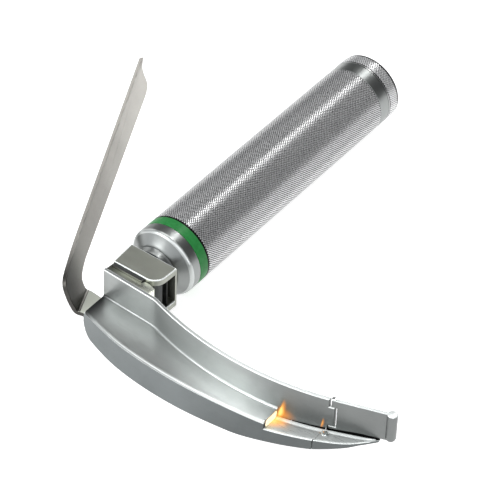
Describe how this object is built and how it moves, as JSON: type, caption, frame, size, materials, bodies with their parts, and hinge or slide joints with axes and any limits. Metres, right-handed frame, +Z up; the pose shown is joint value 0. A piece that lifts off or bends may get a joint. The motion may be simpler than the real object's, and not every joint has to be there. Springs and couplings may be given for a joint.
{
  "type": "laryngoscope",
  "caption": "Laryngoscope with knurled battery handle, folding curved fibre-light blade, and a hinged blade tip flexed by a sprung thumb lever.",
  "frame": {"origin": "bottom centre of the whole object as it lies on its left side with the blade locked open", "axes": "+X from the blade's heel to its tip, +Y along the handle from the head to the base cap, +Z up, the operator's right"},
  "size_m": [0.192, 0.176, 0.0285],
  "materials": {
    "knurled_steel": "knurled, satin nickel-bright steel",
    "head_steel": "satin turned steel",
    "blade_steel": "fine bead-blasted satin stainless steel",
    "lever_steel": "satin stainless strip",
    "polished_steel": "polished steel",
    "spring_steel": "drawn spring wire",
    "green_ring": "satin green anodised look",
    "cell_wrap": "plain shrink sleeve, no print",
    "insulator": "black moulded plastic",
    "contact_brass": "turned brass",
    "seal_rubber": "black rubber ring",
    "lamp_glass": "clear lamp glass",
    "light_fibre": "polished light fibre"
  },
  "bodies": {
    "handle": {"handle_tube": "knurled_steel", "marking_ring": "green_ring", "handle_head": "head_steel", "hook_fork": "head_steel", "hook_pin": "polished_steel", "c_cell_1": "cell_wrap", "c_cell_2": "cell_wrap", "lamp_bush": "insulator", "head_contact": "contact_brass", "lamp_spring": "spring_steel"},
    "base_cap": {"base_cap": "knurled_steel", "cap_seal": "seal_rubber", "cap_spring": "spring_steel"},
    "lamp_cartridge": {"lamp_sleeve": "contact_brass", "lamp_bulb": "lamp_glass", "lamp_base": "insulator"},
    "blade": {"heel_block": "blade_steel", "light_ferrule": "polished_steel", "fibre_bundle": "light_fibre", "detent_spring": "spring_steel", "spatula": "blade_steel", "web": "blade_steel", "flange": "blade_steel", "guide_cover": "blade_steel", "light_exit": "light_fibre", "lever_pivot": "polished_steel", "lever_spring": "spring_steel", "tip_hinge_pin": "polished_steel"},
    "detent_ball_left": {"detent_ball_left": "polished_steel"},
    "detent_ball_right": {"detent_ball_right": "polished_steel"},
    "lever": {"thumb_lever": "lever_steel", "crank_pin": "polished_steel"},
    "push_rod": {"push_rod": "lever_steel"},
    "tip": {"tip_spatula": "blade_steel", "tip_flange": "blade_steel", "link_rivet": "polished_steel"}
  },
  "joints": [
    {"name": "blade_fold", "type": "hinge", "parent": "handle", "child": "blade", "pos_m": [-0.01392, -0.05689, 0.01425], "axis": [0, 0, 1], "range_deg": [0, 85]},
    {"name": "lever_squeeze", "type": "hinge", "parent": "blade", "child": "lever", "pos_m": [-0.02302, -0.07649, 0.003], "axis": [0, 0, 1], "range_deg": [-24, 0], "stiffness_Nm_per_rad": 0.8, "springref_deg": 5.73, "deforming": ["lever_spring"]},
    {"name": "tip_flex", "type": "hinge", "parent": "blade", "child": "tip", "pos_m": [0.07419, -0.06819, 0.01425], "axis": [0, 0, 1], "range_deg": [0, 60]},
    {"name": "rod_swing", "type": "hinge", "parent": "lever", "child": "push_rod", "pos_m": [-0.02302, -0.06829, 0.0036], "axis": [0, 0, 1], "range_deg": [0, 24.84]},
    {"name": "lamp_press", "type": "slide", "parent": "handle", "child": "lamp_cartridge", "axis": [0, 1, 0], "range_m": [0, 0.001], "stiffness_N_per_m": 600, "springref_m": -0.0015, "deforming": ["lamp_spring"]},
    {"name": "base_cap_off", "type": "slide", "parent": "handle", "child": "base_cap", "axis": [0, 1, 0], "range_m": [0, 0.0045]},
    {"name": "detent_left_press", "type": "slide", "parent": "blade", "child": "detent_ball_left", "axis": [0, 0, 1], "range_m": [0, 0.0003], "stiffness_N_per_m": 500, "springref_m": -0.001, "deforming": ["detent_spring"]},
    {"name": "detent_right_press", "type": "slide", "parent": "blade", "child": "detent_ball_right", "axis": [0, 0, -1], "range_m": [0, 0.0003], "stiffness_N_per_m": 500, "springref_m": -0.001}
  ],
  "couplings": [
    {"joint": "tip_flex", "follows": "lever_squeeze", "ratio": -2.5},
    {"joint": "rod_swing", "follows": "lever_squeeze", "ratio": -1.035}
  ]
}
